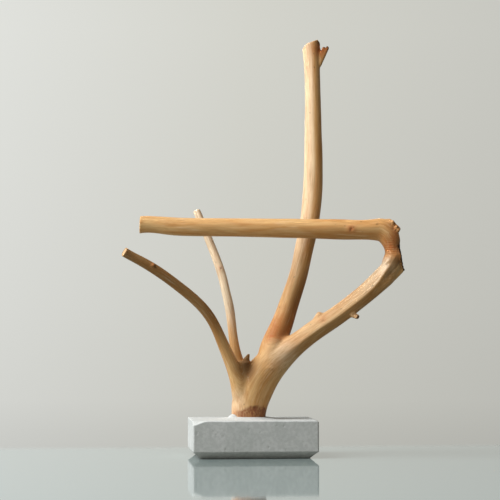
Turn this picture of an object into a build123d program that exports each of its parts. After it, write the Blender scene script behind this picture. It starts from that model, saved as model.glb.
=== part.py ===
from build123d import *
import os

# A free-standing jewelry stand: one debarked, sanded natural fork of wood, its foot cast into a
# chamfered block of plaster and keyed there by two crossed screws.
#
# Frame, millimetres: origin at the centre of the block's underside, +X to the right along the
# block's front face, +Y to the back, +Z up.
#
# The wood is laid out in its own upright plane, seen square on. Every station of a limb gives how
# far right of the block's centre it is, how high above its underside, how far back, and how thick
# the limb is there. The whole fork is then turned a little about the vertical, as it stands in the block.

# --- Block -------------------------------------------------------------------------------------
BLOCK_WIDTH = 100.0
BLOCK_DEPTH = 70.0
BLOCK_HEIGHT = 30.0
CHAMFER_REACH = 6.5         # bevel of the mould's floor, all the way round: how far in
CHAMFER_RISE = 5.5          # and how far up
CORNER_RADIUS = 1.3         # upright arrises
TOP_ARRIS_RADIUS = 0.6      # where the poured face meets the sides
RING_RISE = 1.8             # plaster drawn up the wood all round
RING_REACH = 12.0           # how far that slope spreads from the wood
RING_OVERLAP = 1.5          # how far the slope is carried on inside the wood
LUMP_RISE = 4.2             # a rounder, higher lump of it against the wood's front left
LUMP_RADIUS = 6.0
LUMP_SHIFT = (-11.5, -6.0)  # where it sits, right and back of the wood's axis

# --- Wood --------------------------------------------------------------------------------------
FORK_TURN = -6.0            # degrees about the vertical, from the block's front face

# Stations, from root to tip: right, up, back, half width in the fork's plane, half depth.
STEM = [
    (-3.0, 8.0, 1.0, 13.0, 12.6),
    (-3.0, 20.0, 1.0, 13.3, 12.9),
    (-2.8, 32.0, 1.0, 13.6, 13.1),
    (-1.6, 43.0, 1.0, 14.5, 13.6),
    (2.4, 54.0, 0.5, 14.8, 13.8),
    (8.4, 65.0, 0.0, 14.4, 13.4),
    (16.8, 75.0, -0.5, 13.0, 12.4),
    (27.0, 83.6, -2.0, 10.6, 10.8),
    (37.8, 91.6, -4.0, 8.5, 8.9),
    (50.6, 101.2, -5.0, 8.1, 8.2),
    (64.6, 110.4, -6.5, 7.8, 7.9),
    (77.2, 119.4, -8.0, 7.7, 7.8),
    (89.7, 129.4, -9.5, 7.7, 7.7),
    (101.7, 140.0, -10.5, 8.1, 7.9),
    (112.0, 150.0, -11.5, 8.8, 8.2),
    (119.0, 158.0, -12.0, 8.8, 8.2),
    (126.0, 166.0, -12.5, 8.6, 8.0),
]
TRUNK_END = 8               # the station where the trunk ends and the right limb begins

UPRIGHT = [
    (10.5, 71.0, 0.5, 8.8, 9.6),
    (15.3, 85.0, 2.0, 9.4, 9.8),
    (21.6, 99.5, 4.0, 9.2, 9.3),
    (27.2, 114.0, 5.5, 8.3, 8.5),
    (31.7, 127.5, 7.0, 7.8, 8.0),
    (36.1, 140.5, 8.5, 7.5, 7.7),
    (40.6, 158.0, 10.5, 7.4, 7.6),
    (44.7, 177.0, 12.0, 7.6, 7.8),
    (48.4, 199.0, 13.5, 7.9, 7.9),
    (50.2, 221.0, 14.5, 7.9, 7.8),
    (50.7, 251.0, 15.5, 7.3, 7.3),
    (50.4, 289.0, 16.0, 6.5, 6.5),
    (49.8, 317.0, 16.0, 6.4, 6.4),
    (49.0, 334.0, 16.0, 7.2, 6.7),
    (48.2, 350.0, 16.0, 7.8, 7.0),
]

CROSSBAR = [
    (114.6, 153.0, -12.0, 5.8, 6.2),
    (113.2, 162.6, -12.5, 6.3, 6.5),
    (112.6, 170.0, -12.5, 6.8, 6.8),
    (110.2, 177.0, -13.0, 8.5, 7.7),
    (105.0, 182.0, -13.0, 9.3, 8.0),
    (95.0, 182.4, -13.0, 8.2, 8.0),
    (76.0, 182.5, -13.0, 8.1, 7.9),
    (58.0, 182.8, -13.5, 7.9, 7.8),
    (38.0, 183.3, -13.5, 7.7, 7.6),
    (15.0, 183.6, -14.0, 7.5, 7.4),
    (-11.0, 184.0, -14.5, 7.3, 7.2),
    (-38.0, 184.2, -15.0, 7.3, 7.2),
    (-66.0, 185.1, -15.5, 7.1, 7.1),
    (-90.3, 186.0, -16.0, 6.9, 7.0),
]

FRONT_TWIG = [
    (-5.5, 45.5, -2.0, 9.6, 8.5),
    (-8.4, 54.0, -4.0, 8.5, 7.9),
    (-11.7, 63.5, -6.5, 6.8, 6.6),
    (-16.8, 75.6, -9.5, 5.3, 5.4),
    (-23.0, 90.1, -14.0, 4.5, 4.5),
    (-29.8, 105.4, -19.0, 4.1, 4.1),
    (-38.9, 119.0, -24.0, 4.1, 4.1),
    (-50.5, 130.0, -29.0, 4.0, 4.0),
    (-66.0, 142.0, -36.0, 4.0, 4.0),
    (-81.2, 152.2, -42.5, 3.9, 3.9),
    (-100.0, 162.6, -50.6, 3.7, 3.7),
]

REAR_TWIG = [
    (-1.5, 56.0, 4.0, 6.2, 6.2),
    (-8.2, 67.0, 6.0, 5.4, 5.2),
    (-12.4, 80.0, 9.5, 4.4, 4.3),
    (-15.3, 95.0, 13.0, 3.7, 3.8),
    (-17.4, 112.0, 17.0, 3.7, 3.7),
    (-21.6, 133.0, 22.0, 3.6, 3.6),
    (-28.0, 156.0, 28.0, 3.5, 3.5),
    (-32.6, 168.0, 31.0, 3.4, 3.4),
    (-37.4, 180.0, 33.8, 3.3, 3.3),
    (-42.2, 191.4, 36.4, 3.2, 3.2),
    (-46.8, 202.0, 39.0, 3.0, 3.0),
]

# Short stubs where side shoots were cut or snapped, the swelling that collars the upright where
# it leaves the trunk, and the web between the trunk and the front twig: root point, end point,
# root and end radius.
TIP_PRONG_LEFT = ((54.2, 321.5, 15.0), (59.5, 335.6, 13.6), 2.3, 1.6)
TIP_PRONG_RIGHT = ((54.8, 320.5, 15.0), (62.6, 336.3, 14.2), 2.4, 1.7)
LIMB_STUB = ((75.0, 116.0, -8.0), (85.8, 111.8, -14.0), 2.9, 1.9)
LIMB_KNOB = ((53.0, 107.0, -5.5), (55.6, 115.8, -6.5), 5.0, 2.6)
ELBOW_NUB_HIGH = ((106.0, 179.5, -14.5), (114.2, 188.6, -16.5), 5.0, 2.4)
ELBOW_NUB_LOW = ((108.5, 175.0, -14.5), (118.0, 184.6, -16.5), 5.0, 2.6)
ELBOW_SHOULDER = ((99.0, 184.0, -13.3), (113.2, 186.5, -14.0), 6.8, 4.7)
BAR_NUB = ((104.6, 184.0, -14.0), (104.6, 191.4, -14.5), 3.0, 1.6)
TWIG_BUD = ((-77.0, 149.4, -41.5), (-77.6, 153.1, -45.7), 2.3, 1.4)
SPUR = ((-6.0, 73.0, -4.5), (-2.4, 82.6, -6.0), 5.0, 0.6)
FORK_COLLAR = ((14.0, 70.0, -2.0), (20.5, 96.0, -0.6), 12.0, 7.5)
FORK_WEB = ((-4.0, 50.0, 0.0), (-6.0, 77.0, -6.3), 8.4, 4.8)

# Sawn and snapped ends: a point of the cut and the way it faces, each as right, up, back.
BROKEN_END = ((124.0, 152.0, -12.0), (0.970, 0.243, 0.0))
TIP_CUT = ((49.0, 340.5, 16.0), (-0.34, 0.94, -0.15))
TIP_LEFT_CUT = ((44.5, 337.2, 16.0), (-0.72, 0.69, 0.0))
TIP_RIGHT_CUT = ((54.0, 341.7, 16.0), (0.75, 0.66, 0.0))

# --- Screws that key the foot -------------------------------------------------------------------
SCREW_LENGTH = 45.0
SCREW_SHANK_RADIUS = 1.9
SCREW_HEAD_RADIUS = 3.8
SCREW_HEAD_HEIGHT = 2.6
SCREW_POINT = 5.0
SCREW_RECESS = (4.2, 0.9, 1.5)    # length, width and depth of each arm of the cross recess
LOWER_SCREW_HEIGHT = 13.0
UPPER_SCREW_HEIGHT = 20.0
LOWER_SCREW_HEADING = 20.0        # degrees about the vertical
UPPER_SCREW_HEADING = 110.0

CUTTER = 60.0                     # edge of the cubes that saw the ends off
STUB_ROUNDING = 0.45              # rounding of a stub's end, of its end radius


def in_fork(place):
    """A place or a direction given as right, up, back, as a vector."""
    right, up, back = place
    return Vector(right, back, up)


def station_plane(stations, index):
    """The plane square to a limb's run at one of its stations, its local X lying in the fork's plane."""
    before = in_fork(stations[max(index - 1, 0)][:3])
    after = in_fork(stations[min(index + 1, len(stations) - 1)][:3])
    run = (after - before).normalized()
    backward = Vector(0, 1, 0)
    across = backward.cross(run).normalized()
    return Plane(origin=in_fork(stations[index][:3]), x_dir=across, z_dir=run)


def limb(stations):
    """A limb, lofted through an ellipse at each of its stations."""
    sections = []
    for index, (_, _, _, half_width, half_depth) in enumerate(stations):
        sections.append(station_plane(stations, index) * Ellipse(half_width, half_depth))
    return loft(sections)


def stub(shape):
    """A short tapered shoot with a softly rounded end."""
    root_place, end_place, root_radius, end_radius = shape
    root = in_fork(root_place)
    end = in_fork(end_place)
    length = (end - root).length
    cone = Cone(root_radius, end_radius, length)
    cone = Plane(origin=root, z_dir=end - root) * Pos(0, 0, length / 2) * cone
    rims = cone.edges().filter_by(GeomType.CIRCLE)
    end_rim = min(rims, key=lambda rim: (rim.center() - end).length)
    return fillet(end_rim, end_radius * STUB_ROUNDING)


def beyond(cut):
    """A cube of everything just outside a sawn or snapped face."""
    point, facing = cut
    face = Plane(origin=in_fork(point), z_dir=in_fork(facing))
    return face * Pos(0, 0, CUTTER / 2) * Box(CUTTER, CUTTER, CUTTER)


def whole(shape):
    """The largest solid of a cut shape, without the crumbs that a cut can leave beside it."""
    return max(shape.solids(), key=lambda solid: solid.volume)


def make_wood():
    """The fork's limbs, each cut where it grows out of a thicker one, so that they meet face to face."""
    stem = limb(STEM)
    trunk = split(stem, station_plane(STEM, TRUNK_END), keep=Keep.BOTTOM)
    right_limb = split(stem, station_plane(STEM, TRUNK_END), keep=Keep.TOP) - beyond(BROKEN_END)
    upright = limb(UPRIGHT) - beyond(TIP_CUT) - beyond(TIP_LEFT_CUT) - beyond(TIP_RIGHT_CUT)
    upright = upright + stub(TIP_PRONG_LEFT) + stub(TIP_PRONG_RIGHT)
    crossbar = limb(CROSSBAR) + stub(ELBOW_SHOULDER) + stub(ELBOW_NUB_HIGH) + stub(ELBOW_NUB_LOW)
    crossbar = crossbar + stub(BAR_NUB)
    front_twig = limb(FRONT_TWIG) + stub(TWIG_BUD)
    rear_twig = limb(REAR_TWIG)
    trunk = trunk + stub(SPUR) + stub(FORK_COLLAR) + stub(FORK_WEB)
    right_limb = right_limb + stub(LIMB_STUB) + stub(LIMB_KNOB)
    upright = upright - trunk - right_limb
    front_twig = front_twig - trunk
    rear_twig = rear_twig - trunk - front_twig
    crossbar = crossbar - right_limb
    wood = {
        "trunk": trunk,
        "right_limb": right_limb,
        "upright": upright,
        "crossbar": crossbar,
        "front_twig": front_twig,
        "rear_twig": rear_twig,
    }
    return {name: Rot(0, 0, FORK_TURN) * whole(piece) for name, piece in wood.items()}


def make_screw():
    """A countersunk wood screw along +X, centred on its own middle, with a cross recess in its head."""
    shank_length = SCREW_LENGTH - SCREW_HEAD_HEIGHT - SCREW_POINT
    profile = Polyline(
        (0, 0),
        (0, SCREW_HEAD_RADIUS),
        (SCREW_HEAD_HEIGHT, SCREW_SHANK_RADIUS),
        (SCREW_HEAD_HEIGHT + shank_length, SCREW_SHANK_RADIUS),
        (SCREW_LENGTH, 0),
        close=True,
    )
    screw = revolve(make_face(profile), Axis.X)
    arm_length, arm_width, arm_depth = SCREW_RECESS
    arm = Pos(arm_depth / 2, 0, 0) * Box(arm_depth, arm_length, arm_width)
    screw = screw - arm - Rot(90, 0, 0) * arm
    return Pos(-SCREW_LENGTH / 2, 0, 0) * screw


def make_screws():
    """Two screws through the foot, crossed in plan, one above the other."""
    foot_right, _, foot_back, _, _ = STEM[1]
    foot = Rot(0, 0, FORK_TURN) * Pos(foot_right, foot_back, 0)
    screw = make_screw()
    return {
        "anchor_screw_lower": foot * Pos(0, 0, LOWER_SCREW_HEIGHT) * Rot(0, 0, LOWER_SCREW_HEADING) * screw,
        "anchor_screw_upper": foot * Pos(0, 0, UPPER_SCREW_HEIGHT) * Rot(0, 0, UPPER_SCREW_HEADING) * screw,
    }


def make_block():
    """The cast block with the plaster that climbed the wood, before the foot is taken out of it."""
    outline = RectangleRounded(BLOCK_WIDTH, BLOCK_DEPTH, CORNER_RADIUS)
    floor = RectangleRounded(BLOCK_WIDTH - 2 * CHAMFER_REACH, BLOCK_DEPTH - 2 * CHAMFER_REACH, CORNER_RADIUS)
    bevel = loft([floor, Pos(0, 0, CHAMFER_RISE) * outline], ruled=True)
    sides = Pos(0, 0, CHAMFER_RISE) * extrude(outline, BLOCK_HEIGHT - CHAMFER_RISE)
    block = bevel + sides
    block = fillet(block.faces().sort_by(Axis.Z)[-1].edges(), TOP_ARRIS_RADIUS)
    foot_right, _, foot_back, foot_radius, _ = STEM[2]
    root = Rot(0, 0, FORK_TURN) * Pos(foot_right, foot_back, BLOCK_HEIGHT)
    ring_height = RING_RISE / RING_REACH * (RING_REACH + RING_OVERLAP)
    ring = Cone(foot_radius + RING_REACH, foot_radius - RING_OVERLAP, ring_height)
    ring = root * Pos(0, 0, ring_height / 2) * ring
    lump_right, lump_back = LUMP_SHIFT
    lump = root * Pos(lump_right, lump_back, LUMP_RISE - LUMP_RADIUS) * Sphere(LUMP_RADIUS)
    return block + ring + lump


def main():
    os.makedirs("parts", exist_ok=True)
    pieces = make_wood()
    screws = make_screws()
    block = make_block()
    for screw in screws.values():
        pieces["trunk"] = pieces["trunk"] - screw
        block = block - screw
    pieces["base_block"] = whole(block - pieces["trunk"])
    pieces.update(screws)
    for name, piece in pieces.items():
        export_step(piece, f"parts/{name}.step")
        size = piece.bounding_box().size
        print(f"{name:20s} {piece.volume:8.0f} mm3  {size.X:6.1f} {size.Y:6.1f} {size.Z:6.1f} mm")


main()
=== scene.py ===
import math
import random

import bmesh
import bpy
import numpy as np
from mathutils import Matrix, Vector, noise


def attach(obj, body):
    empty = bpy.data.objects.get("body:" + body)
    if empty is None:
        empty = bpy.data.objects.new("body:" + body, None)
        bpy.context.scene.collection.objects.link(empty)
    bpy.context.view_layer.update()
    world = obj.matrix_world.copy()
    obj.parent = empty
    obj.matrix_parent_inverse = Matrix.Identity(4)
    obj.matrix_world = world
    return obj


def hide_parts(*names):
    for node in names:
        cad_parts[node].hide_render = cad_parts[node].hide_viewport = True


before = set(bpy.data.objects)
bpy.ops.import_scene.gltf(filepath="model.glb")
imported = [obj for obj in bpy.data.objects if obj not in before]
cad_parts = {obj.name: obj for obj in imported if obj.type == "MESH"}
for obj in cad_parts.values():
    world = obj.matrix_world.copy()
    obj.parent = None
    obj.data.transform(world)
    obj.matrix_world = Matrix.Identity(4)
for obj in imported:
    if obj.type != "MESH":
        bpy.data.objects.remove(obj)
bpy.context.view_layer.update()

# Lengths in this file are millimetres until they meet a mesh, which is in metres.
MM = 0.001

WOOD_NODES = ("trunk", "right_limb", "crossbar", "upright", "front_twig", "rear_twig")

# The fork is turned a little on its block, so places on it are written in a frame
# of its own: to the right, up, and towards the back.
FORK_TURN = math.radians(-6)


def on_fork(right, up, back):
    """A place or a direction of the fork, in the block's frame."""
    cosine, sine = math.cos(FORK_TURN), math.sin(FORK_TURN)
    return np.array((cosine * right - sine * back, sine * right + cosine * back, up))


# The line through the middle of each limb: right, up, back, and the radius there.
STEM_LINE = [
    (-3, 8, 1, 13), (-2.8, 32, 1, 13.4), (2.4, 54, 0.5, 14.3), (8.4, 65, 0, 14),
    (16.8, 75, -0.5, 12.7), (27, 83.6, -2, 10.7), (50.6, 101.2, -5, 8.1),
    (89.7, 129.4, -9.5, 7.7), (112, 150, -11.5, 8.5), (126, 166, -12.5, 8.3),
]
UPRIGHT_LINE = [
    (10.5, 71, 0.5, 9.2), (21.6, 99.5, 4, 9.2), (31.7, 127.5, 7, 7.9),
    (40.6, 158, 10.5, 7.5), (48.4, 199, 13.5, 7.9), (50.7, 251, 15.5, 7.3),
    (49.8, 317, 16, 6.4), (48.2, 350, 16, 7.4),
]
CROSSBAR_LINE = [
    (114.6, 153, -12, 6), (112.6, 170, -12.5, 6.8), (110.2, 177, -13, 8.1),
    (105, 182, -13, 8.6), (95, 182.4, -13, 8.1), (38, 183.3, -13.5, 7.7),
    (-38, 184.2, -15, 7.3), (-90.3, 186, -16, 7),
]
FRONT_TWIG_LINE = [
    (-5.5, 45.5, -2, 9), (-11.7, 63.5, -6.5, 6.7), (-23, 90.1, -14, 4.5),
    (-38.9, 119, -24, 4.1), (-66, 142, -36, 4), (-100, 162.6, -50.6, 3.7),
]
REAR_TWIG_LINE = [
    (-1.5, 56, 4, 6.2), (-12.4, 80, 9.5, 4.4), (-17.4, 112, 17, 3.7),
    (-28, 156, 28, 3.5), (-37.4, 180, 33.8, 3.3), (-46.8, 202, 39, 3),
]
LIMB_LINES = {
    "stem": STEM_LINE,
    "upright": UPRIGHT_LINE,
    "crossbar": CROSSBAR_LINE,
    "front_twig": FRONT_TWIG_LINE,
    "rear_twig": REAR_TWIG_LINE,
}


def srgb(red, green, blue):
    """A colour given as 0 to 255, as the linear value that a shader takes."""
    linear = []
    for level in (red, green, blue):
        share = level / 255
        linear.append(share / 12.92 if share <= 0.04045 else ((share + 0.055) / 1.055) ** 2.4)
    return (*linear, 1.0)


# ---------------------------------------------------------------- mesh helpers

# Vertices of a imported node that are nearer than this, in metres, are one vertex.
DOUBLES = 1e-6


def new_piece(name, mesh):
    piece = bpy.data.objects.new(name, mesh)
    bpy.context.scene.collection.objects.link(piece)
    return piece


def apply_modifiers(piece):
    """Puts the mesh that a piece's modifiers make in place of its own."""
    graph = bpy.context.evaluated_depsgraph_get()
    made = bpy.data.meshes.new_from_object(piece.evaluated_get(graph))
    piece.modifiers.clear()
    piece.data = made


def copy_of_nodes(name, node_names):
    """One object with the meshes of some CAD nodes, each with its doubles merged."""
    together = bmesh.new()
    for node in node_names:
        single = bmesh.new()
        single.from_mesh(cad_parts[node].data)
        bmesh.ops.remove_doubles(single, verts=single.verts, dist=DOUBLES)
        merged = bpy.data.meshes.new(node + "_copy")
        single.to_mesh(merged)
        single.free()
        together.from_mesh(merged)
        bpy.data.meshes.remove(merged)
    mesh = bpy.data.meshes.new(name)
    together.to_mesh(mesh)
    together.free()
    return new_piece(name, mesh)


def remeshed(piece, voxel):
    """The piece as one even skin of quads, without what is shut inside it."""
    modifier = piece.modifiers.new("skin", "REMESH")
    modifier.mode = "VOXEL"
    modifier.voxel_size = voxel * MM
    apply_modifiers(piece)
    shape = bmesh.new()
    shape.from_mesh(piece.data)
    keep_largest_shell(shape)
    shape.to_mesh(piece.data)
    shape.free()
    return piece


def keep_largest_shell(shape):
    """Takes away every shell of a mesh but the one with the most vertices."""
    shape.verts.ensure_lookup_table()
    shells = []
    left = set(shape.verts)
    while left:
        start = left.pop()
        shell = {start}
        reached = [start]
        while reached:
            for link in reached.pop().link_edges:
                for vert in link.verts:
                    if vert in left:
                        left.remove(vert)
                        shell.add(vert)
                        reached.append(vert)
        shells.append(shell)
    shells.sort(key=len)
    for shell in shells[:-1]:
        bmesh.ops.delete(shape, geom=list(shell), context="VERTS")


def places_of(mesh):
    """Where each vertex is, in millimetres."""
    flat = np.empty(len(mesh.vertices) * 3)
    mesh.vertices.foreach_get("co", flat)
    return flat.reshape(-1, 3) / MM


def normals_of(mesh):
    """The way that the skin faces at each vertex."""
    flat = np.empty(len(mesh.vertices) * 3)
    mesh.vertex_normals.foreach_get("vector", flat)
    return flat.reshape(-1, 3)


def move_to(mesh, places):
    """Moves each vertex to its place, given in millimetres."""
    mesh.vertices.foreach_set("co", (places * MM).ravel())
    mesh.update()


def ripples(places, size, seed):
    """Smooth noise from -1 to 1, in lumps of about that size."""
    shift = Vector((17.3 * seed, 5.1 * seed, 9.7 * seed))
    scale = 1 / size
    return np.array([noise.noise(Vector(place) * scale + shift) for place in places])


def ramp(values, start, end):
    """0 before the start, 1 after the end, and smooth between."""
    share = np.clip((values - start) / (end - start), 0, 1)
    return share * share * (3 - 2 * share)


def near(places, centre, reach):
    """1 at the centre, fading smoothly to nothing at about twice the reach."""
    gap = np.linalg.norm(places - np.asarray(centre), axis=1)
    return np.exp(-((gap / reach) ** 2))


# A smoothing weight is rounded to one of this many steps between 0 and 1.
WEIGHT_STEPS = 10


def smooth_where(piece, weights, rounds):
    """Smooths a piece's mesh, as much at each vertex as its weight says."""
    group = piece.vertex_groups.new(name="smoothing")
    levels = np.clip(np.round(weights * WEIGHT_STEPS), 0, WEIGHT_STEPS).astype(int)
    for level in range(1, WEIGHT_STEPS + 1):
        members = np.nonzero(levels == level)[0]
        if len(members):
            group.add([int(member) for member in members], level / WEIGHT_STEPS, "REPLACE")
    modifier = piece.modifiers.new("smoothing", "SMOOTH")
    modifier.factor = 0.5
    modifier.iterations = rounds
    modifier.vertex_group = group.name
    apply_modifiers(piece)
    piece.vertex_groups.clear()


def store(mesh, name, values, kind="FLOAT"):
    """Keeps a value for each vertex on the mesh, for a material to read."""
    layer = mesh.attributes.new(name, kind, "POINT")
    key = "value" if kind == "FLOAT" else "vector"
    layer.data.foreach_set(key, np.asarray(values, dtype=float).ravel())


# ---------------------------------------------------------------- limbs

def fine_line(line, step=3.0):
    """A limb's line in the block's frame as close points on a smooth curve, with radii."""
    knots = [np.append(on_fork(*point[:3]), point[3]) for point in line]
    knots = [2 * knots[0] - knots[1]] + knots + [2 * knots[-1] - knots[-2]]
    fine = []
    for before, start, end, after in zip(knots, knots[1:], knots[2:], knots[3:]):
        count = max(2, int(np.linalg.norm(end[:3] - start[:3]) / step))
        for share in np.arange(count) / count:
            fine.append(
                0.5 * (2 * start + (end - before) * share
                       + (2 * before - 5 * start + 4 * end - after) * share ** 2
                       + (3 * start - before - 3 * end + after) * share ** 3)
            )
    fine.append(knots[-2])
    return np.array(fine)


def along_limb(places, line, run_start=0.0):
    """For each place, three things: its two offsets across a limb and its run along it,
    how many radii it is from the limb's line, and the radius there."""
    fine = fine_line(line)
    centres, radii = fine[:, :3], fine[:, 3]
    steps = np.diff(centres, axis=0)
    lengths = np.linalg.norm(steps, axis=1)
    ahead = steps / lengths[:, None]
    run = run_start + np.concatenate([[0], np.cumsum(lengths)])
    across = np.array((1.0, 0.0, 0.0))
    best = np.full(len(places), np.inf)
    grain = np.zeros((len(places), 3))
    girth = np.zeros(len(places))
    for index, direction in enumerate(ahead):
        across = across - direction * across.dot(direction)
        across /= np.linalg.norm(across)
        other = np.cross(direction, across)
        offset = places - centres[index]
        forward = offset @ direction
        share = np.clip(forward / lengths[index], 0, 1)
        radius = radii[index] + (radii[index + 1] - radii[index]) * share
        gap = np.linalg.norm(offset - share[:, None] * steps[index], axis=1) / radius
        closer = gap < best
        best[closer] = gap[closer]
        girth[closer] = radius[closer]
        grain[closer, 0] = (offset @ across)[closer]
        grain[closer, 1] = (offset @ other)[closer]
        grain[closer, 2] = (run[index] + forward)[closer]
    return grain, best, girth


# How far along the stem each limb starts, so that the grain runs on into it.
RUN_STARTS = {"stem": 0, "upright": 66, "crossbar": 205, "front_twig": 38, "rear_twig": 48}


def grain_of(places):
    """The wood's own coordinates at each place, running on smoothly from limb to limb,
    with the radius there and each limb's share of the place."""
    total = np.zeros(len(places))
    grain = np.zeros((len(places), 3))
    girth = np.zeros(len(places))
    shares = {}
    for name, line in LIMB_LINES.items():
        own, gap, radius = along_limb(places, line, RUN_STARTS[name])
        weight = np.exp(-3 * np.clip(gap ** 2 - 1, 0, 60)) + 1e-9
        grain += own * weight[:, None]
        girth += radius * weight
        total += weight
        shares[name] = weight
    for name in shares:
        shares[name] = shares[name] / total
    return grain / total[:, None], girth / total, shares


# ---------------------------------------------------------------- branch

# Clean cut ends: a place on the plane, the way it faces, and how far round it reaches.
SAWN_ENDS = {
    "crossbar": ((-90.05, 186, -16), (-1.0, 0.035, -0.02), 13),
    "front_twig": ((-99.7, 162.45, -50.45), (-0.85, 0.46, -0.36), 8),
    "rear_twig": ((-46.7, 201.75, 38.95), (-0.38, 0.90, 0.22), 7),
    "upright": ((49, 340.3, 16), (-0.34, 0.94, -0.15), 7.5),
    "limb_stub": ((85.5, 111.9, -13.8), (0.83, -0.32, -0.46), 3.4),
}
# Ends whose cut face is painted dark brown as painted shade, turned away from the large lamp.
PAINTED_SHADE_ENDS = ("limb_stub",)
END_BEVEL = 0.25

# The branch's snapped end: a place on it and the way it faces.
BROKEN_PLACE = (124, 152, -12)
BROKEN_FACING = (0.970, 0.243, 0)

# Places with small forms, whose mesh is made finer: place, reach.
FINE_PLACES = [
    ((114, 176, -14), 17),
    ((123, 157, -12), 14),
    ((-3.5, 79, -6), 7),
    ((57, 332, 14), 13),
    ((-77.5, 152, -44.5), 6),
]

# Small forms that the smoothing spares: place, reach.
SPARED = [
    ((-3.2, 80, -6), 5.5),
    ((114.5, 188.5, -16.5), 4.5),
    ((118, 184, -16.5), 4.5),
    ((101, 190.5, -13), 10),
    ((58, 332, 14), 12),
    ((-77.5, 152.5, -44.8), 3.5),
    ((104.6, 191, -14.5), 2.5),
]

# Knots: place, radius, how far it stands proud, and how deep its eye is.
KNOTS = [
    ((57.1, 108.9, -13.4), 1.6, 0.1, 0.6),
    ((79.6, 182.6, -20.8), 2.3, 0.3, 0.4),
    ((15.4, 95.7, -5.3), 1.5, 0.15, 0.55),
    ((-25.8, 152.8, 23.5), 1.7, 0.3, 0.35),
    ((27.0, 96.5, 10.5), 3.0, 0.45, 0.8),
    ((47.0, 215.0, 22.0), 2.4, 0.4, 0.7),
    ((-20.0, 180.0, -7.2), 2.2, 0.3, 0.5),
    ((8.0, 52.0, 13.6), 3.2, 0.4, 0.8),
]

# Small round bumps on the elbow's corner: place, reach, how far each stands proud.
ELBOW_BUMPS = [
    ((113.2, 188.4, -18.9), 1.3, 1.1), ((115.9, 184.7, -19.4), 1.3, 1.2),
    ((117.6, 181.6, -18.8), 1.1, 0.9),
]

# The pits beside them, sunk into the wood and painted dark as the shade in them: place, reach.
ELBOW_PITS = [
    ((114.9, 187.0, -18.4), 1.0), ((117.4, 183.6, -18.6), 0.9), ((111.6, 186.4, -19.6), 0.8),
    ((113.6, 182.8, -19.8), 0.9), ((118.9, 180.0, -17.6), 1.0), ((115.6, 181.2, -19.4), 0.8),
]

# Hollows: the dip on top of the crossbar by the elbow, and the one under the torn spur.
HOLLOWS = [
    ((101, 191, -13), 7, 0.5),
    ((-4.5, 71, -10.5), 6, 1.3),
]

# The two prongs of the side fork at the tip: place, reach.
PRONGS = [
    ((59.6, 336.5, 13.6), 2.2),
    ((63, 337, 14.2), 2.2),
]

# Small dark specks left by the bark: place, radius.
SPECKS = [
    ((100.3, 186.1, -20.1), 0.9), ((87.7, 188.7, -17.9), 0.9), ((96.7, 136.9, -17.9), 1.0),
    ((81.6, 183.6, -20.6), 0.8), ((78.8, 181.2, -20.8), 0.8), ((2.1, 39.9, -12.2), 1.1),
]

# Reddened patches of inner bark: place, reach, strength. Those at (14, 96, -3), (20, 104, -2) and (27,
# 118, 1) on the lower upright and at (54, 334, 11) on the tip's right side are partly painted shade in
# the same colour.
FLUSHES_AND_SHADE = [
    ((112, 168.5, -16), 8.5, 1.0), ((112, 187, -15), 6, 0.45), ((118, 186, -15), 5, 0.8),
    ((114, 178, -18), 5, 0.7), ((14, 96, -3), 10, 0.45), ((20, 104, -2), 11, 0.50),
    ((27, 118, 1), 14, 0.22), ((86, 112, -14), 3.5, 0.7), ((79.6, 182.6, -20.8), 3.0, 0.5),
    ((56.5, 113, -12), 6, 0.30), ((60, 334, 14), 5, 0.8), ((-13, 35, -6), 3.5, 0.7),
    ((54, 334, 11), 7, 0.8), ((-77.6, 153, -45.7), 2.0, 0.7),
]

# Whiter patches at the fork and below the elbow: place, reach, strength.
PALE_PLACES = [((25, 82, -12), 11, 0.6), ((109.5, 154, -18), 6, 0.6)]

# Painted shade in hollows and on flanks turned away from the light: place, reach, strength.
PAINTED_SHADE_PLACES = [
    ((-4.5, 73, -10), 8, 1.0), ((-3, 64, -11), 6, 0.5), ((-11, 78, 5), 10, 0.5),
    ((118.8, 156.5, -18.5), 6, 1.0), ((113.5, 146.5, -18), 5, 0.6), ((119.5, 164, -16), 4.5, 0.8),
    ((118.5, 174, -15), 5, 0.6), ((59.5, 330, 13.5), 6, 0.7),
]

# Dark brown bark that was left on: place, reach, strength. Those beside the elbow's bumps, on the
# elbow's right flank, on the tip's right side and in the hollow under the torn spur are partly painted
# shade, and the last is a painted shadow beside the front twig's bud. The first three stand proud.
BARK_AND_SHADE_SPOTS = [
    ((116.6, 188, -15.5), 1.3, 0.9), ((120.2, 185, -15), 1.5, 0.9), ((119, 181, -15), 1.6, 0.7),
    ((117.8, 171, -15), 5, 0.50), ((119.5, 156, -18), 5.5, 0.40), ((55.6, 339, 11.5), 2.8, 0.75),
    ((55.6, 333, 11), 2.8, 0.4), ((60, 336.5, 13.6), 2.4, 0.9), ((63, 336.8, 14.2), 2.4, 0.9),
    ((85.9, 111.8, -14), 1.6, 0.9), ((-3.5, 70, -10), 7, 0.50), ((-4, 78, -9), 5, 0.45),
    ((-2.8, 81, -6), 2.6, 0.35), ((-75.7, 151.2, -45), 1.2, 0.5),
]

# The step of the branch's remeshed skin.
BRANCH_VOXEL = 0.88

# A spot in these lists fades out between these shares of its reach.
SPOT_INNER = 0.8
SPOT_OUTER = 1.2

# Rounds of smoothing: to fill the forks, to even the whole skin, and to even the fine places.
FORK_ROUNDS = 40
SKIN_ROUNDS = 5
FINE_ROUNDS = 2

# Where filling the forks would sink the skin, only this share of the sinking is kept.
SINKING_KEPT = 0.12


def share_in(places, spots):
    """1 inside any of some (place, reach) spots, fading to nothing just outside."""
    share = np.zeros(len(places))
    for place, reach in spots:
        gap = np.linalg.norm(places - on_fork(*place), axis=1)
        share = np.maximum(share, 1 - ramp(gap, SPOT_INNER * reach, SPOT_OUTER * reach))
    return share


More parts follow.
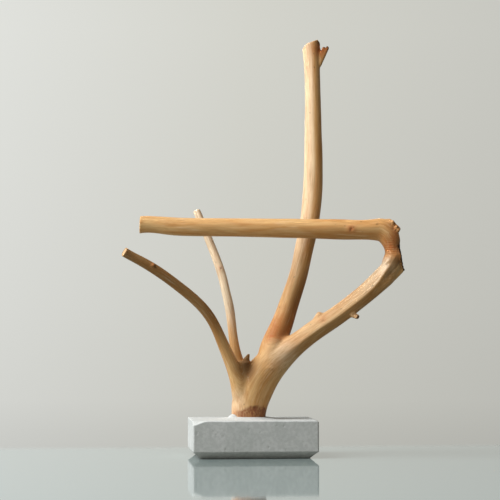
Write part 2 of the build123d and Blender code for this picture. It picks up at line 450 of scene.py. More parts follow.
def soften_forks(piece):
    """Fills the angles where the limbs meet, then takes the steps of the remesh off."""
    before = places_of(piece.data)
    normals = normals_of(piece.data)
    _, _, shares = grain_of(before)
    strongest = np.max(np.array(list(shares.values())), axis=0)
    mixed = ramp(1 - strongest, 0.02, 0.35)
    ends = share_in(before, [(place, reach) for place, _, reach in SAWN_ENDS.values()])
    spared = share_in(before, SPARED)
    smooth_where(piece, (1 - np.maximum(ends, spared)) * mixed, FORK_ROUNDS)
    rise = ((places_of(piece.data) - before) * normals).sum(axis=1)
    rise = np.where(rise < 0, SINKING_KEPT * rise, rise)
    move_to(piece.data, before + normals * rise[:, None])
    smooth_where(piece, (1 - ends) * (1 - 0.8 * spared), SKIN_ROUNDS)


def refine(piece):
    """Halves the mesh's steps at the small forms."""
    places = places_of(piece.data)
    inside = share_in(places, FINE_PLACES) > 0.5
    shape = bmesh.new()
    shape.from_mesh(piece.data)
    shape.verts.ensure_lookup_table()
    edges = [
        edge for edge in shape.edges
        if inside[edge.verts[0].index] and inside[edge.verts[1].index]
    ]
    bmesh.ops.subdivide_edges(shape, edges=edges, cuts=1, use_grid_fill=True)
    shape.to_mesh(piece.data)
    shape.free()
    smooth_where(piece, share_in(places_of(piece.data), FINE_PLACES), FINE_ROUNDS)


# From fold to fold of the wood: in the crotch of the upright, and round the elbow's inside.
CROTCH_FOLD = 2.4
ELBOW_FOLD = 1.75


def sculpt_branch(piece):
    """The rise and fall of the sanded wood, its knots, wrinkles and torn places."""
    mesh = piece.data
    places = places_of(mesh)
    normals = normals_of(mesh)
    grain, girth, shares = grain_of(places)
    thickness = ramp(girth, 2.5, 9)
    rise = 0.10 + 0.18 * thickness * ripples(grain * (1, 1, 0.4), 9, 1)
    rise += 0.09 * ripples(grain * (1, 1, 0.25), 4.5, 2)
    rise += 0.04 * ripples(grain * (1, 1, 0.12), 2.2, 3)
    rise += limb_ridge(places, normals, shares)
    rise -= 0.5 * elbow_flank(places, normals)
    for place, reach, depth in HOLLOWS:
        rise -= depth * near(places, on_fork(*place), reach)
    for place, radius, proud, depth in KNOTS:
        gap = np.linalg.norm(places - on_fork(*place), axis=1) / radius
        rise += proud * np.exp(-((gap - 0.9) / 0.75) ** 2)
        rise -= depth * np.exp(-(gap / 0.45) ** 2)
    for place, radius in SPECKS:
        rise -= 0.25 * near(places, on_fork(*place), 0.7 * radius)
    rise += 0.16 * elbow_wrinkles(places)
    for place, reach, proud in ELBOW_BUMPS:
        rise += proud * near(places, on_fork(*place), reach)
    for place, reach in ELBOW_PITS:
        rise -= 0.7 * near(places, on_fork(*place), reach)
    crotch = near(places, on_fork(17, 98, -5), 5)
    rise += 0.10 * crotch * np.sin(grain[:, 2] * 2 * math.pi / CROTCH_FOLD + 2 * ripples(places, 4, 8))
    bark = share_in(places, [(place, reach) for place, reach, _ in BARK_AND_SHADE_SPOTS[:3]])
    rise += 0.35 * bark * ripples(places, 1.6, 9)
    prongs = np.max([near(places, on_fork(*place), reach) for place, reach in PRONGS], axis=0)
    rise += prongs * (0.2 * ripples(places, 1.5, 11) - 0.1)
    moved = places + normals * rise[:, None]
    moved[:, 2] -= prong_notches(places)
    move_to(mesh, moved + torn_moves(places, normals))


def prong_notches(places):
    """How far the top of the tip's side fork is sunk, to part its prongs from each other
    and from the tip."""
    beside = places @ on_fork(1, 0, 0)
    behind = places @ on_fork(0, 0, 1)
    web = ramp(behind, 9, 11) * (1 - ramp(behind, 17.5, 19))
    by_tip = 2.6 * np.exp(-(((beside - 57.1) / 0.9) ** 2)) * ramp(places[:, 2], 330.5, 335.5)
    between = 1.2 * np.exp(-(((beside - 61.0) / 0.7) ** 2)) * ramp(places[:, 2], 332.5, 336.5)
    return web * (by_tip + between) * (1 - ramp(places[:, 2], 337.5, 339))


def elbow_wrinkles(places):
    """The fine wrinkles round the elbow's inside, from -1 to 1, fading away from it."""
    phase = places[:, 2] * 2 * math.pi / ELBOW_FOLD + 1.1 * ripples(places, 4, 4)
    return near(places, on_fork(111, 167.5, -17.5), 6.5) * np.sin(phase)


def elbow_flank(places, normals):
    """How far a place on the front of the elbow lies to the right of the ridge there:
    that flank turns away to the snapped end."""
    beside = places @ on_fork(1, 0, 0)
    height = places[:, 2]
    ridge = np.interp(height, (139, 152, 162, 172), (100.5, 110, 116, 116.5))
    front = ramp(normals @ on_fork(0, 0, -1), -0.3, 0.25)
    close = ramp(height, 138, 146) * (1 - ramp(height, 166, 174)) * ramp(beside, 100, 108)
    return np.clip(beside - ridge, 0, 7) * front * close


def limb_side(places, normals, shares):
    """How far round the right limb a place faces, in degrees up from the limb's front
    ridge, and how much it belongs to that limb."""
    line = ramp(places[:, 0], 18, 42) * (1 - ramp(places[:, 0], 105, 115)) * shares["stem"]
    upward = normals @ on_fork(-0.58, 0.81, 0)
    forward = normals @ on_fork(0, 0, -1)
    ridge = -5 + 28 * ramp(places[:, 0], 92, 114)
    return np.degrees(np.arctan2(upward, forward)) - ridge, line


def limb_ridge(places, normals, shares):
    """The blunt ridge along the front of the right limb, between its upper and lower flank."""
    angle, line = limb_side(places, normals, shares)
    crest = np.exp(-(angle / 15) ** 2)
    below = np.exp(-((angle + 37) / 20) ** 2)
    above = np.exp(-((angle - 43) / 24) ** 2)
    return line * (0.85 * crest - 0.45 * below - 0.20 * above)


def torn_moves(places, normals):
    """Splinters the snapped end: its face is drawn in along the grain by uneven amounts."""
    facing = on_fork(*BROKEN_FACING)
    local = places - on_fork(*BROKEN_PLACE)
    depth = local @ facing
    across = local - depth[:, None] * facing
    close = 1 - ramp(np.linalg.norm(local, axis=1), 16, 19)
    face = close * ramp(depth, -1.6, -0.3)
    rough = 0.8 * ripples(across, 3.6, 12)
    rough += 0.6 * ripples(across, 1.5, 13) + 0.4 * ripples(across, 0.9, 14)
    drawn = face * np.clip(0.9 + 1.1 * rough, 0, 2.6)
    rim = close * ramp(depth, -6, -1.5) * ramp(normals @ on_fork(0.97, 0.24, 0), -0.2, 0.5)
    bumps = rim * 0.5 * ripples(places, 1.7, 15)
    spur = 0.6 * near(places, on_fork(-2.8, 80, -6), 3.6) * ripples(places * (1, 1, 0.5), 1.8, 16)
    return normals * (bumps + spur)[:, None] - drawn[:, None] * facing


def torn_share(places):
    """Where the branch is snapped, not cut: its end at the elbow."""
    local = places - on_fork(*BROKEN_PLACE)
    depth = local @ on_fork(*BROKEN_FACING)
    depth += 0.8 * ripples(places, 2.5, 17)
    return ramp(depth, -3.4, -1.6) * (1 - ramp(np.linalg.norm(local, axis=1), 17, 21))


def cut_ends(piece):
    """Cuts each end clean, with a narrow bevel, and gives the cut faces their finish."""
    shape = bmesh.new()
    shape.from_mesh(piece.data)
    for name, (place, facing, reach) in SAWN_ENDS.items():
        centre = Vector(on_fork(*place)) * MM
        outward = Vector(on_fork(*facing)).normalized()
        close = [vert for vert in shape.verts if (vert.co - centre).length < reach * MM]
        inside = set(close)
        edges = [edge for edge in shape.edges if edge.verts[0] in inside and edge.verts[1] in inside]
        faces = [face for face in shape.faces if all(vert in inside for vert in face.verts)]
        bmesh.ops.bisect_plane(
            shape, geom=close + edges + faces, dist=0.12 * MM,
            plane_co=centre, plane_no=outward, clear_outer=True,
        )
        rim = [edge for edge in shape.edges if edge.is_boundary]
        rim_verts = list({vert for edge in rim for vert in edge.verts})
        bmesh.ops.remove_doubles(shape, verts=rim_verts, dist=0.2 * MM)
        rim = [edge for edge in shape.edges if edge.is_boundary]
        made = bmesh.ops.holes_fill(shape, edges=rim)["faces"]
        rim_verts = list({vert for edge in rim if edge.is_valid for vert in edge.verts})
        bevelled = bmesh.ops.inset_region(
            shape, faces=made, thickness=END_BEVEL * MM, use_even_offset=True,
        )
        for vert in rim_verts:
            vert.co -= outward * END_BEVEL * MM
        for face in made:
            face.smooth = False
            # The stub's cut face takes the dark material, which is painted shade.
            face.material_index = 2 if name in PAINTED_SHADE_ENDS else 1
            for edge in face.edges:
                edge.smooth = False
        for face in bevelled["faces"]:
            face.smooth = True
    bmesh.ops.recalc_face_normals(shape, faces=shape.faces)
    for face in shape.faces:
        if face.material_index == 0:
            face.smooth = True
    shape.to_mesh(piece.data)
    shape.free()


class Skin:
    """What the colours of the branch are worked out from, at each vertex."""

    def __init__(self, mesh):
        self.places = places_of(mesh)
        self.height = self.places[:, 2]
        self.normals = normals_of(mesh)
        self.rightward = self.normals[:, 0]
        self.grain, self.girth, self.shares = grain_of(self.places)
        self.angle, self.line = limb_side(self.places, self.normals, self.shares)
        self.low_upright = 1 - ramp(self.height, 125, 165)
        self.outer_front_twig = self.shares["front_twig"] * ramp(self.height, 80, 115)

    def spots(self, spots):
        """The sum of some soft spots, each a place, a reach and a strength."""
        total = np.zeros(len(self.places))
        for place, reach, strength in spots:
            total += strength * near(self.places, on_fork(*place), reach)
        return total


def stain_share(skin):
    """The damp line that the wet plaster left round the foot, with an uneven top edge."""
    middle = skin.places[:, 0] - 2
    top = 40.3 - 0.022 * middle ** 2
    above = skin.height - top
    above += 1.6 * ripples(skin.places, 4, 21) + 1.0 * ripples(skin.places, 1.8, 22)
    return (1 - ramp(above, -1.2, 1.4)) * (0.35 + 0.65 * ramp(skin.places[:, 0], -15, -10))


def painted_light_share(skin):
    """Painted light where the wood faces the large lamp: the upright's left side, the trunk's low left
    part, the rear twig and the limb's upper facet; also the whiter patches.
    """
    beside, height = skin.places[:, 0], skin.height
    pale = 0.68 * skin.shares["upright"] * ramp(height, 110, 200) * ramp(-skin.rightward, -0.25, 0.30)
    pale += skin.shares["rear_twig"] * ramp(height, 88, 125)
    pale += 0.5 * ramp(height, 60, 44) * ramp(-beside, 2, 12)
    pale += skin.spots(PALE_PLACES)
    upper_facet = skin.line * ramp(skin.angle, -6, 8) * (1 - ramp(skin.angle, 75, 105))
    pale += upper_facet * (0.25 + 0.50 * ramp(beside, 75, 105))
    return pale * (1 - share_in(skin.places, [((60, 331, 14), 6)]))


def painted_shade_share(skin):
    """Painted shade: the lower and right-hand flanks turned away from the large lamp, the underside of
    the crossbar's right half, the front twig, the rear twig's foot and the listed hollows.
    """
    painted_shade = 0.5 * skin.line * ramp(-skin.angle, 0, 18) * (1 - ramp(-skin.angle, 115, 145))
    upright, rear_twig = skin.shares["upright"], skin.shares["rear_twig"]
    painted_shade += upright * skin.low_upright * ramp(skin.rightward, -0.55, 0.35)
    painted_shade += 0.5 * upright * (1 - skin.low_upright) * ramp(skin.rightward, 0.15, 0.75)
    beside = skin.places[:, 0]
    right_half = skin.shares["crossbar"] * ramp(beside, 0, 70) * (1 - ramp(beside, 96, 106))
    painted_shade += 0.5 * right_half * (1 - ramp(skin.normals[:, 2], -0.05, 0.45))
    painted_shade += 0.8 * skin.outer_front_twig
    painted_shade += 0.4 * rear_twig * (1 - ramp(skin.height, 85, 115))
    return painted_shade + skin.spots(PAINTED_SHADE_PLACES)


def flush_and_shade_share(skin):
    """The reddened inner bark, also round the knots and between the elbow's wrinkles, with painted
    shade in the same colour on the lower upright and the tip's right side.
    """
    round_knots = [(place, 1.5 * radius, 0.4) for place, radius, _, _ in KNOTS]
    return -0.25 * elbow_wrinkles(skin.places) + skin.spots(FLUSHES_AND_SHADE) + skin.spots(round_knots)


def bark_and_painted_shade_share(skin):
    """The near-black places: the snapped end, scraps of bark, eyes of knots and specks; also painted
    shade on the front twig, on the lower upright's right side, in the elbow's pits and among the
    scraps.
    """
    bark = torn_share(skin.places)
    # Painted shade on the front twig's outer part and on the lower upright's right side.
    bark += 0.20 * skin.outer_front_twig
    bark += 0.30 * skin.shares["upright"] * skin.low_upright * ramp(skin.rightward, -0.2, 0.5)
    bark += skin.spots(BARK_AND_SHADE_SPOTS)
    bark += skin.spots([(place, 0.35 * radius, 0.7) for place, radius, _, _ in KNOTS])
    bark += skin.spots([(place, 0.8 * radius, 0.8) for place, radius in SPECKS])
    # Painted shade in the pits beside the elbow's bumps.
    bark += skin.spots([(place, reach, 0.8) for place, reach in ELBOW_PITS])
    return bark


def colour_branch(piece):
    """Stores the wood's grain, where its colour departs from the plain sanded wood, and where light
    and shade are painted into it.
    """
    mesh = piece.data
    skin = Skin(mesh)
    store(mesh, "grain", skin.grain, "FLOAT_VECTOR")
    store(mesh, "girth", skin.girth)
    store(mesh, "stain", stain_share(skin))
    # This layer paints light where the wood faces the large lamp, and holds the whiter patches.
    store(mesh, "pale", np.clip(painted_light_share(skin), 0, 1))
    # This layer paints shade where the wood turns away from the large lamp, and in the hollows.
    store(mesh, "painted_shade", np.clip(painted_shade_share(skin), 0, 1))
    # Reddened inner bark, with painted shade in the same colour on the lower upright and the tip's
    # right side.
    store(mesh, "flush_and_shade", np.clip(flush_and_shade_share(skin), 0, 1))
    # This layer holds bark, knot eyes and specks, and painted shade in the same near-black.
    store(mesh, "bark", np.clip(bark_and_painted_shade_share(skin), 0, 1))


def make_branch():
    """The whole branch as one skin, with its cut ends and its finish."""
    piece = remeshed(copy_of_nodes("branch_wood", WOOD_NODES), BRANCH_VOXEL)
    soften_forks(piece)
    refine(piece)
    sculpt_branch(piece)
    cut_ends(piece)
    colour_branch(piece)
    for material in (branch_skin(), sawn_end(), painted_shade_stub_end()):
        piece.data.materials.append(material)
    return piece


# ---------------------------------------------------------------- materials

class Nodes:
    """Shorthand for one material's nodes."""

    def __init__(self, name):
        self.material = bpy.data.materials.new(name)
        self.material.use_nodes = True
        self.tree = self.material.node_tree
        self.shader = self.tree.nodes["Principled BSDF"]
        self.output = self.tree.nodes["Material Output"]

    def add(self, kind, **settings):
        node = self.tree.nodes.new(kind)
        for key, value in settings.items():
            setattr(node, key, value)
        return node

    def link(self, value, socket):
        if isinstance(value, (int, float, tuple)):
            socket.default_value = value
        else:
            self.tree.links.new(value, socket)

    def attribute(self, name, output="Fac"):
        return self.add("ShaderNodeAttribute", attribute_name=name).outputs[output]

    def object_places(self):
        """Object coordinates, in metres."""
        return self.add("ShaderNodeTexCoord").outputs["Object"]

    def object_millimetres(self):
        return self.scaled(self.object_places(), (1 / MM, 1 / MM, 1 / MM))

    def scaled(self, vector, scale):
        node = self.add("ShaderNodeMapping")
        self.link(vector, node.inputs["Vector"])
        node.inputs["Scale"].default_value = scale
        return node.outputs["Vector"]

    def noise(self, vector, scale, detail=3.0, roughness=0.5, distortion=0.0):
        node = self.add("ShaderNodeTexNoise")
        self.link(vector, node.inputs["Vector"])
        node.inputs["Scale"].default_value = scale
        node.inputs["Detail"].default_value = detail
        node.inputs["Roughness"].default_value = roughness
        node.inputs["Distortion"].default_value = distortion
        return node.outputs["Fac"]

    def cells(self, vector, scale):
        """How far a place is from the nearest of some scattered points."""
        node = self.add("ShaderNodeTexVoronoi")
        self.link(vector, node.inputs["Vector"])
        node.inputs["Scale"].default_value = scale
        return node.outputs["Distance"]

    def curve(self, value, stops):
        """A ramp through (place, grey or colour) stops."""
        node = self.add("ShaderNodeValToRGB")
        self.link(value, node.inputs["Fac"])
        elements = node.color_ramp.elements
        while len(elements) < len(stops):
            elements.new(0.5)
        for element, (place, level) in zip(elements, stops):
            element.position = place
            element.color = level if isinstance(level, tuple) else (level, level, level, 1)
        return node.outputs["Color"]

    def math(self, operation, first, second, third=0.0, clamp=False):
        node = self.add("ShaderNodeMath", operation=operation, use_clamp=clamp)
        for value, socket in zip((first, second, third), node.inputs):
            self.link(value, socket)
        return node.outputs["Value"]

    def mix(self, share, first, second, blend="MIX"):
        node = self.add("ShaderNodeMix", data_type="RGBA", blend_type=blend)
        self.link(share, node.inputs["Factor"])
        self.link(first, node.inputs["A"])
        self.link(second, node.inputs["B"])
        return node.outputs["Result"]

    def bump(self, height, distance, strength):
        """A bumped normal, as deep as the distance in millimetres."""
        node = self.add("ShaderNodeBump")
        self.link(height, node.inputs["Height"])
        node.inputs["Distance"].default_value = distance * MM
        node.inputs["Strength"].default_value = strength
        return node.outputs["Normal"]

    def seen_share(self):
        """1 for what the camera sees straight or in a reflection, and 0 for other light."""
        rays = self.add("ShaderNodeLightPath")
        return self.math("MAXIMUM", rays.outputs["Is Camera Ray"], rays.outputs["Is Glossy Ray"])

    def blend(self, share, first, second):
        """Two shaders mixed."""
        node = self.add("ShaderNodeMixShader")
        for value, socket in zip((share, first, second), node.inputs):
            self.link(value, socket)
        return node.outputs[0]

    def show(self, shader):
        self.link(shader, self.output.inputs["Surface"])

    def finish(self, **sockets):
        """The material, with the shader's sockets set; _ in a name stands for a space."""
        for key, value in sockets.items():
            self.link(value, self.shader.inputs[key.replace("_", " ")])
        return self.material


# Besides the grain's light lines, WOOD_PALE paints light where the wood faces the large lamp.
WOOD_PALE = srgb(254, 236, 205)
WOOD_CREAM = srgb(233, 190, 130)
WOOD_TAN = srgb(213, 156, 93)
WOOD_HONEY = srgb(186, 124, 64)
# Besides the grain's dark lines, WOOD_BROWN paints shade where the wood turns away from the large
# lamp.
WOOD_BROWN = srgb(142, 100, 55)
# Reddened inner bark; also painted shade on the lower upright and the tip's right side.
WOOD_FLUSH_AND_SHADE = srgb(190, 108, 56)
WOOD_STAIN = srgb(142, 88, 58)
# Besides bark and specks, WOOD_DARK paints shade in the same near-black.
WOOD_DARK = srgb(52, 31, 18)


def branch_skin():
    """Sanded wood just under the bark: cream to honey, streaked along the limb."""
    nodes = Nodes("sanded_branch")
    grain = nodes.attribute("grain", "Vector")
    broad = nodes.noise(nodes.scaled(grain, (1, 1, 0.16)), 0.13, 3.0, 0.55, 0.6)
    streaks = nodes.noise(nodes.scaled(grain, (1, 1, 0.07)), 0.55, 4.0, 0.6, 0.3)
    fibres = nodes.noise(nodes.scaled(grain, (1, 1, 0.05)), 2.6, 3.0, 0.6)
    lines = nodes.noise(nodes.scaled(grain, (1, 1, 0.045)), 1.05, 3.0, 0.6, 0.4)
    wide = nodes.noise(nodes.scaled(grain, (1, 1, 0.3)), 0.1, 2.0)
    patches = nodes.curve(wide, [(0.38, 0.25), (0.62, 1.0)])
    tone = nodes.mix(nodes.curve(broad, [(0.36, 0.0), (0.64, 1.0)]), WOOD_CREAM, WOOD_TAN)
    # The first layer paints light where the wood faces the large lamp; the second paints shade where
    # it turns away.
    for layer, colour in (("pale", WOOD_PALE), ("painted_shade", WOOD_BROWN)):
        tone = nodes.mix(nodes.math("MULTIPLY", nodes.attribute(layer), 0.75), tone, colour)
    tone = nodes.mix(nodes.curve(streaks, [(0.44, 0.0), (0.76, 0.62)]), tone, WOOD_HONEY)
    dark_lines = nodes.curve(lines, [(0.50, 0.0), (0.70, 0.32)])
    tone = nodes.mix(nodes.math("MULTIPLY", patches, dark_lines), tone, WOOD_BROWN)
    light_lines = nodes.curve(lines, [(0.30, 0.34), (0.46, 0.0)])
    tone = nodes.mix(nodes.math("MULTIPLY", patches, light_lines), tone, WOOD_PALE)
    dark_fibres = nodes.curve(fibres, [(0.30, 0.16), (0.52, 0.0)])
    tone = nodes.mix(dark_fibres, tone, WOOD_HONEY, "MULTIPLY")
    blotches = nodes.curve(nodes.noise(grain, 0.33, 4.0, 0.6, 0.8), [(0.3, 0.45), (0.62, 1.0)])
    # Reddened inner bark, partly painted shade on the lower upright and the tip's right side.
    tone = nodes.mix(nodes.math("MULTIPLY", nodes.attribute("flush_and_shade"), blotches), tone, WOOD_FLUSH_AND_SHADE)
    scraps = nodes.noise(nodes.scaled(grain, (1, 1, 0.5)), 0.42, 5.0, 0.6, 1.0)
    scraps = nodes.curve(scraps, [(0.36, 0.50), (0.58, 1.0)])
    tone = nodes.mix(nodes.math("MULTIPLY", nodes.attribute("stain"), scraps), tone, WOOD_STAIN)
    # Near-black bark, and painted shade mixed through the same layer.
    tone = nodes.mix(nodes.attribute("bark"), tone, WOOD_DARK)
    specks = nodes.cells(nodes.scaled(grain, (1, 1, 0.35)), 0.16)
    tone = nodes.mix(nodes.curve(specks, [(0.035, 0.5), (0.065, 0.0)]), tone, WOOD_DARK)
    height = nodes.math("ADD", fibres, nodes.math("MULTIPLY", streaks, 1.5))
    normal = nodes.bump(height, 0.12, 0.45)
    rough = nodes.curve(streaks, [(0.3, 0.44), (0.7, 0.56)])
    rough = nodes.mix(nodes.attribute("bark"), rough, (0.8, 0.8, 0.8, 1))
    return nodes.finish(Base_Color=tone, Roughness=rough, Normal=normal, Specular_IOR_Level=0.14)


# Half the width of one growth ring, in millimetres.
HALF_RING = 0.36


def end_rings(nodes):
    """The growth rings across an end from 0 to 1, how far out a place is as a share of
    the radius, and its two offsets from the pith."""
    grain = nodes.attribute("grain", "Vector")
    across = nodes.scaled(grain, (1, 1, 0))
    wobble = nodes.noise(across, 0.35, 2.0, 0.5)
    length = nodes.add("ShaderNodeVectorMath", operation="LENGTH")
    nodes.link(across, length.inputs[0])
    out = length.outputs["Value"]
    bent = nodes.math("ADD", out, nodes.math("MULTIPLY", wobble, 1.4))
    ring = nodes.math("PINGPONG", bent, HALF_RING)
    ring = nodes.math("MULTIPLY", ring, 1 / HALF_RING, clamp=True)
    return ring, nodes.math("DIVIDE", out, nodes.attribute("girth")), across


def sawn_end():
    """A clean cut across the grain: fine rings round a small dark pith."""
    nodes = Nodes("sawn_end_grain")
    ring, share, across = end_rings(nodes)
    tone = nodes.mix(ring, srgb(206, 164, 114), srgb(231, 197, 150))
    cloud = nodes.noise(across, 0.9, 3.0)
    tone = nodes.mix(nodes.curve(cloud, [(0.35, 0.0), (0.7, 0.45)]), tone, srgb(190, 140, 92))
    tone = nodes.mix(nodes.curve(share, [(0.06, 0.85), (0.13, 0.0)]), tone, srgb(120, 78, 46))
    tone = nodes.mix(nodes.curve(share, [(0.86, 0.0), (0.96, 0.55)]), tone, srgb(170, 116, 70))
    normal = nodes.bump(ring, 0.1, 0.5)
    return nodes.finish(Base_Color=tone, Roughness=0.62, Normal=normal)


def painted_shade_stub_end():
    """A cut across a twig stub, painted dark brown with faint rings: painted shade, as the face turns
    away from the large lamp.
    """
    nodes = Nodes("stub_end_with_painted_shade")
    ring, _, across = end_rings(nodes)
    tone = nodes.mix(ring, srgb(74, 44, 26), srgb(116, 72, 42))
    cloud = nodes.noise(across, 1.5, 3.0)
    tone = nodes.mix(nodes.curve(cloud, [(0.4, 0.0), (0.7, 0.6)]), tone, srgb(60, 36, 22))
    normal = nodes.bump(cloud, 0.3, 0.7)
    return nodes.finish(Base_Color=tone, Roughness=0.75, Normal=normal)


PLASTER_PALE = srgb(220, 221, 217)
PLASTER_GREY = srgb(206, 209, 204)
PLASTER_MOTTLE = srgb(180, 183, 177)
PLASTER_HOLE_SHADE = srgb(122, 124, 119)


def cast_plaster():
    """Pale grey casting plaster: faint clouds, small pinholes painted dark as the shade in them, and a
    chalky skin.
    """
    nodes = Nodes("cast_plaster")
    place = nodes.object_millimetres()
    clouds = nodes.noise(place, 0.055, 4.0, 0.55, 0.4)
    mottle = nodes.noise(place, 0.35, 4.0, 0.6)
    grit = nodes.noise(place, 1.9, 3.0, 0.6)
    clouds = nodes.curve(clouds, [(0.3, 0.0), (0.7, 1.0)])
    tone = nodes.mix(clouds, PLASTER_GREY, PLASTER_PALE)
    tone = nodes.mix(nodes.curve(mottle, [(0.42, 0.35), (0.6, 0.0)]), tone, PLASTER_MOTTLE)
    holes = nodes.cells(place, 0.42)
    # The pinholes are painted dark: painted shade in the holes.
    tone = nodes.mix(nodes.curve(holes, [(0.045, 0.55), (0.09, 0.0)]), tone, PLASTER_HOLE_SHADE)
    height = nodes.math("ADD", nodes.math("MULTIPLY", grit, 0.6), nodes.math("MULTIPLY", mottle, 1.2))
    height = nodes.math("ADD", height, nodes.curve(holes, [(0.03, 0.0), (0.1, 0.8)]))
    normal = nodes.bump(height, 0.14, 0.5)
    rough = nodes.curve(mottle, [(0.3, 0.78), (0.7, 0.9)])
    return nodes.finish(Base_Color=tone, Roughness=rough, Normal=normal, Specular_IOR_Level=0.3)


def zinc_screw():
    """Bright zinc over steel, a little brushed by the thread."""
    nodes = Nodes("zinc_plated_screw")
    place = nodes.object_millimetres()
    cloud = nodes.noise(place, 0.4, 4.0, 0.6)
    brushed = nodes.noise(nodes.scaled(place, (1, 1, 6)), 1.5, 3.0, 0.6)
    tone = nodes.mix(cloud, srgb(168, 170, 172), srgb(206, 208, 210))
    rough = nodes.curve(brushed, [(0.3, 0.28), (0.7, 0.44)])
    normal = nodes.bump(brushed, 0.03, 0.4)
    return nodes.finish(Base_Color=tone, Metallic=1.0, Roughness=rough, Normal=normal)


# ---------------------------------------------------------------- block

# The step of the block's remeshed skin.
BLOCK_VOXEL = 0.53

BLOCK_HALF_WIDTH = 50.0
BLOCK_HALF_DEPTH = 35.0
BLOCK_TOP = 30.0

BUBBLE_COUNT = 120
BUBBLE_RADII = (0.25, 0.55)

# The faces where a bubble can open: the axis that the face is on, and where it is on it.
# The front is there twice, so that it gets more of them.
BUBBLE_FACES = (
    (1, -BLOCK_HALF_DEPTH), (1, -BLOCK_HALF_DEPTH), (1, BLOCK_HALF_DEPTH),
    (0, -BLOCK_HALF_WIDTH), (0, BLOCK_HALF_WIDTH), (2, BLOCK_TOP),
)

# How far the top's front corners are worn down, at the left and at the right.
LEFT_CORNER_WEAR = 3.0
RIGHT_CORNER_WEAR = 1.0


def make_block():
    """The cast block, with its worn edges and its finish."""
    piece = remeshed(copy_of_nodes("cast_block", ("base_block",)), BLOCK_VOXEL)
    sculpt_block(piece)
    for polygon in piece.data.polygons:
        polygon.use_smooth = True
    piece.data.materials.append(cast_plaster())
    return piece


def pinholes(places):
    """Small open air bubbles scattered over the casting: how deep each place is sunk."""
    chance = random.Random(41)
    depth = np.zeros(len(places))
    for _ in range(BUBBLE_COUNT):
        centre = np.array((
            chance.uniform(-1, 1) * BLOCK_HALF_WIDTH,
            chance.uniform(-1, 1) * BLOCK_HALF_DEPTH,
            chance.uniform(1, BLOCK_TOP),
        ))
        axis, level = chance.choice(BUBBLE_FACES)
        centre[axis] = level
        radius = chance.uniform(*BUBBLE_RADII)
        depth = np.maximum(depth, 0.7 * radius * near(places, centre, radius))
    return depth


def sculpt_block(piece):
    """The unevenness of a small hand casting: worn corners, a wavy top edge, pinholes."""
    mesh = piece.data
    places = places_of(mesh)
    normals = normals_of(mesh)
    beside, behind, height = places.T
    side_gap = np.minimum(BLOCK_HALF_WIDTH - np.abs(beside), BLOCK_HALF_DEPTH - np.abs(behind))
    _, stem_gap, _ = along_limb(places, STEM_LINE)
    socket = (1 - ramp(stem_gap, 1.015, 1.04)) * ramp(height, 5, 7)
    on_foot = 1 - ramp(height, 0.3, 1.5)
    rise = 0.06 * ripples(places, 12, 31) + 0.04 * ripples(places, 3, 32) - 0.08
    rise -= pinholes(places)
    rise *= (1 - socket) * (1 - on_foot)
    moved = places + normals * rise[:, None]
    top_edge = (1 - ramp(side_gap, 0.5, 3.0)) * ramp(height, 26, 29)
    moved[:, 2] += top_edge * (0.22 * ripples(places * (1, 1, 0), 6, 33) - 0.12)
    to_left = ramp(-beside, 36.5, 50.5) ** 1.5
    to_right = ramp(beside, 47, 50.5)
    to_front = ramp(-behind, 24, 35)
    moved[:, 2] -= LEFT_CORNER_WEAR * to_left * to_front * ramp(height, 16, 29)
    moved[:, 2] -= RIGHT_CORNER_WEAR * to_right * to_front * ramp(height, 24, 29)
    moved[:, 2] = np.maximum(moved[:, 2], 0)
    move_to(mesh, moved)


# ---------------------------------------------------------------- studio

# Lengths in this part are metres.

# The camera stands about 1.3 m off, low and a little to the left.
CAMERA_TURN = math.radians(-5.6)
CAMERA_TILT = math.radians(3.155)
CAMERA_DISTANCE = 1.300
CAMERA_HEIGHT = 0.095
CAMERA_LEFT = 0.0016
CAMERA_LENS = 115.2
CAMERA_SENSOR = 36

# The floor fades out behind the stand; past its edge there is only the backdrop.
FLOOR_EDGE = 0.085
FLOOR_FADE = 0.045
FLOOR_HALF_SIZE = 4.0
FLOOR_SEEN = srgb(152, 167, 164)
FLOOR_THROWN = srgb(118, 123, 118)

BACKDROP_LEFT = srgb(224, 225, 220)
BACKDROP_MIDDLE = srgb(211, 211, 203)
BACKDROP_RIGHT = srgb(200, 200, 193)

# How much of the backdrop's colour is left at each height, from low to high.
BACKDROP_DIMMING = [
    (0.09, 0.77), (0.13, 0.80), (0.20, 0.87), (0.40, 0.92), (0.60, 0.95), (0.93, 1.0),
]

# The soft fill, from the side away from the large lamp to the side towards it.
TOWARDS_LARGE_LAMP = (-0.70, -0.35, 0.62)
FILL_LEVELS = [
    (0.0, (0.025, 0.020, 0.015, 1)), (0.35, (0.055, 0.045, 0.035, 1)),
    (0.6, (0.165, 0.158, 0.145, 1)), (0.8, (0.45, 0.45, 0.44, 1)), (1.0, (0.60, 0.60, 0.59, 1)),
]


def add_camera():
    ahead = Vector((-math.sin(CAMERA_TURN), math.cos(CAMERA_TURN), 0))
    rightward = Vector((math.cos(CAMERA_TURN), math.sin(CAMERA_TURN), 0))
    data = bpy.data.cameras.new("camera")
    data.lens = CAMERA_LENS
    data.sensor_width = CAMERA_SENSOR
    data.clip_end = 50
    camera = bpy.data.objects.new("camera", data)
    bpy.context.scene.collection.objects.link(camera)
    place = -ahead * CAMERA_DISTANCE - rightward * CAMERA_LEFT
    camera.location = place + Vector((0, 0, CAMERA_HEIGHT))
    camera.rotation_euler = (math.pi / 2 + CAMERA_TILT, 0, CAMERA_TURN)
    bpy.context.scene.camera = camera


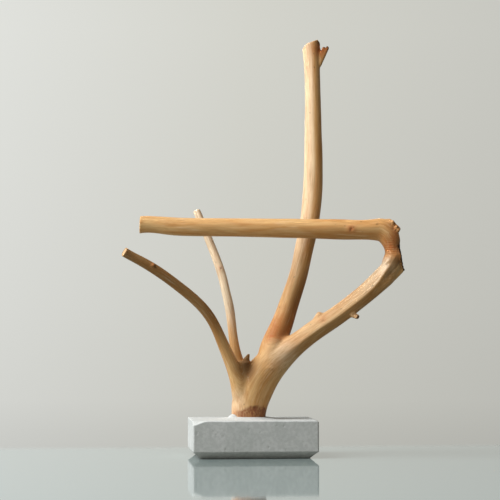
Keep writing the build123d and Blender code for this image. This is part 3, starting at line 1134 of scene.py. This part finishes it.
def add_lamp(name, place, target, size, power, colour):
    data = bpy.data.lights.new(name, "AREA")
    data.shape = "RECTANGLE"
    data.size, data.size_y = size
    data.energy = power
    data.color = colour
    lamp = bpy.data.objects.new(name, data)
    bpy.context.scene.collection.objects.link(lamp)
    lamp.location = place
    lamp.rotation_euler = (Vector(target) - Vector(place)).to_track_quat("-Z", "Y").to_euler()
    return lamp


def add_lights():
    """A large soft lamp high at the left, and a faint narrow one from the front left that
    reaches only the upper limbs."""
    add_lamp(
        "large_lamp", place=(-1.48, -0.30, 1.55), target=(0, 0, 0.15), size=(1.3, 1.7),
        power=58, colour=(0.98, 1.0, 1.04),
    )
    narrow = add_lamp(
        "narrow_lamp", place=(-0.95, -1.05, 0.50), target=(0.05, 0, 0.34), size=(0.35, 0.25),
        power=0.12, colour=(1.0, 0.98, 0.95),
    )
    narrow.data.spread = math.radians(18)


def backdrop_colour(nodes, direction):
    """The pale backdrop: darker to the right and towards the floor."""
    split = nodes.add("ShaderNodeSeparateXYZ")
    nodes.link(direction, split.inputs[0])
    side = nodes.math("MULTIPLY_ADD", split.outputs["X"], 3.26, 0.186)
    up = nodes.math("MULTIPLY_ADD", split.outputs["Z"], 3.22, 0.322)
    colours = [(0.0, BACKDROP_LEFT), (0.5, BACKDROP_MIDDLE), (1.0, BACKDROP_RIGHT)]
    return nodes.mix(1.0, nodes.curve(side, colours), nodes.curve(up, BACKDROP_DIMMING), "MULTIPLY")


class WorldNodes(Nodes):
    """The same shorthand for the world's nodes."""

    def __init__(self, world):
        world.use_nodes = True
        self.tree = world.node_tree
        self.tree.nodes.clear()
        self.output = self.add("ShaderNodeOutputWorld")


def add_world():
    """A pale backdrop for the camera and for all reflections, and a soft fill for the
    rest, brighter from the large lamp's side."""
    world = bpy.data.worlds.new("studio")
    bpy.context.scene.world = world
    nodes = WorldNodes(world)
    direction = nodes.add("ShaderNodeTexCoord").outputs["Generated"]
    backdrop = nodes.add("ShaderNodeBackground")
    nodes.link(backdrop_colour(nodes, direction), backdrop.inputs["Color"])
    towards_lamp = nodes.add("ShaderNodeVectorMath", operation="DOT_PRODUCT")
    nodes.link(direction, towards_lamp.inputs[0])
    nodes.link(TOWARDS_LARGE_LAMP, towards_lamp.inputs[1])
    share = nodes.math("MULTIPLY_ADD", towards_lamp.outputs["Value"], 0.5, 0.5)
    fill = nodes.add("ShaderNodeBackground")
    nodes.link(nodes.curve(share, FILL_LEVELS), fill.inputs["Color"])
    nodes.show(nodes.blend(nodes.seen_share(), fill.outputs[0], backdrop.outputs[0]))


def add_floor():
    """A smooth pale floor that fades into the backdrop a little way behind the block."""
    shape = bmesh.new()
    bmesh.ops.create_grid(shape, x_segments=1, y_segments=1, size=FLOOR_HALF_SIZE)
    mesh = bpy.data.meshes.new("floor")
    shape.to_mesh(mesh)
    shape.free()
    nodes = Nodes("pale_floor")
    rays = nodes.add("ShaderNodeLightPath")
    tone = nodes.mix(rays.outputs["Is Diffuse Ray"], FLOOR_SEEN, FLOOR_THROWN)
    nodes.finish(Base_Color=tone, Roughness=0.05, Specular_IOR_Level=0.65)
    place = nodes.add("ShaderNodeSeparateXYZ")
    nodes.link(nodes.object_places(), place.inputs[0])
    past = nodes.math(
        "MULTIPLY_ADD", place.outputs["Y"], 1 / FLOOR_FADE, -FLOOR_EDGE / FLOOR_FADE, clamp=True,
    )
    clear = nodes.add("ShaderNodeBsdfTransparent")
    share = nodes.math("MULTIPLY", past, nodes.seen_share())
    nodes.show(nodes.blend(share, nodes.shader.outputs[0], clear.outputs[0]))
    mesh.materials.append(nodes.material)
    new_piece("floor", mesh)


# ---------------------------------------------------------------- scene

add_camera()
add_world()
add_lights()
add_floor()

branch = make_branch()
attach(branch, "root")
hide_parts(*WOOD_NODES)

block = make_block()
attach(block, "root")
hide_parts("base_block")

screw_finish = zinc_screw()
for screw in ("anchor_screw_lower", "anchor_screw_upper"):
    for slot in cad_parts[screw].material_slots:
        slot.material = screw_finish

bpy.context.scene.view_settings.view_transform = "Standard"
